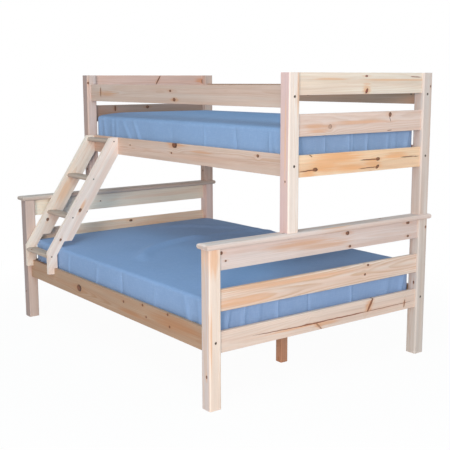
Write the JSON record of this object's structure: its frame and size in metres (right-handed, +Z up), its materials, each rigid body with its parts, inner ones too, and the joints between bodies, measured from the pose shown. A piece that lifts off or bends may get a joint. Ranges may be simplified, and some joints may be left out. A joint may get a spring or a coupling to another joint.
{
  "type": "triple bunk bed",
  "caption": "Pine bunk bed with a single bed standing on the moulded caps of a double bed, a guard rail all round the single, fitted-sheet mattresses and a leaning hook-on ladder.",
  "frame": {"origin": "on the floor, under the middle of the double bed", "axes": "+X along the beds towards the foot end, -Y towards the ladder side, +Z up"},
  "size_m": [2.074, 1.486, 1.526],
  "materials": {
    "pine": "sanded, unfinished",
    "pink_pine": "sanded, unfinished",
    "tan_pine": "sanded, unfinished",
    "grey_pine": "sanded, unfinished",
    "beech": "turned, unfinished",
    "steel": "oxidised",
    "double_sheet": "woven",
    "single_sheet": "woven"
  },
  "bodies": {
    "double_bed": {"double_post_foot_front": "pine", "double_post_foot_back": "pine", "double_post_head_front": "pine", "double_post_head_back": "pine", "double_cap_foot": "pine", "double_cap_head": "pine", "double_bottom_rail_foot": "pine", "double_mid_rail_foot": "pine", "double_top_rail_foot": "pine", "double_bottom_rail_head": "pine", "double_mid_rail_head": "pine", "double_top_rail_head": "pine", "double_side_rail_front": "tan_pine", "double_side_rail_back": "tan_pine", "double_cleat_front": "pine", "double_cleat_back": "pine", "centre_beam": "tan_pine", "centre_leg_foot": "tan_pine", "centre_leg_head": "tan_pine", "beam_cradle_foot": "tan_pine", "beam_cradle_head": "tan_pine", "double_slats": "pine", "double_bolts": "steel", "double_barrel_nuts": "steel", "double_rail_dowels": "beech", "locating_pins": "steel", "cap_dowels": "beech", "double_mattress": "double_sheet"},
    "single_bed": {"single_post_foot_front": "pink_pine", "single_post_foot_back": "pine", "single_post_head_front": "pink_pine", "single_post_head_back": "pine", "single_bottom_rail_foot": "pine", "single_mid_rail_foot": "pine", "single_top_rail_foot": "pine", "single_bottom_rail_head": "pine", "single_mid_rail_head": "pine", "single_top_rail_head": "pine", "single_side_rail_front": "pine", "single_side_rail_back": "pine", "guard_rail_front": "pine", "guard_rail_back": "pine", "single_cleat_front": "pine", "single_cleat_back": "pine", "single_slats": "pine", "single_bolts": "steel", "single_barrel_nuts": "steel", "single_rail_dowels": "beech"},
    "single_bedding": {"single_mattress": "single_sheet"},
    "ladder": {"ladder_stile_left": "pink_pine", "ladder_stile_right": "pine", "ladder_tread_1": "grey_pine", "ladder_tread_2": "grey_pine", "ladder_tread_3": "grey_pine", "ladder_tread_4": "grey_pine", "ladder_screws": "steel"}
  },
  "joints": [
    {"name": "ladder_lift", "type": "slide", "parent": "double_bed", "child": "ladder", "axis": [0, 0, 1], "range_m": [0, 0.2]},
    {"name": "single_bed_lift", "type": "slide", "parent": "double_bed", "child": "single_bed", "axis": [0, 0, 1], "range_m": [0, 0.04]},
    {"name": "single_mattress_lift", "type": "slide", "parent": "single_bed", "child": "single_bedding", "axis": [0, 0, 1], "range_m": [0, 0.25]}
  ]
}
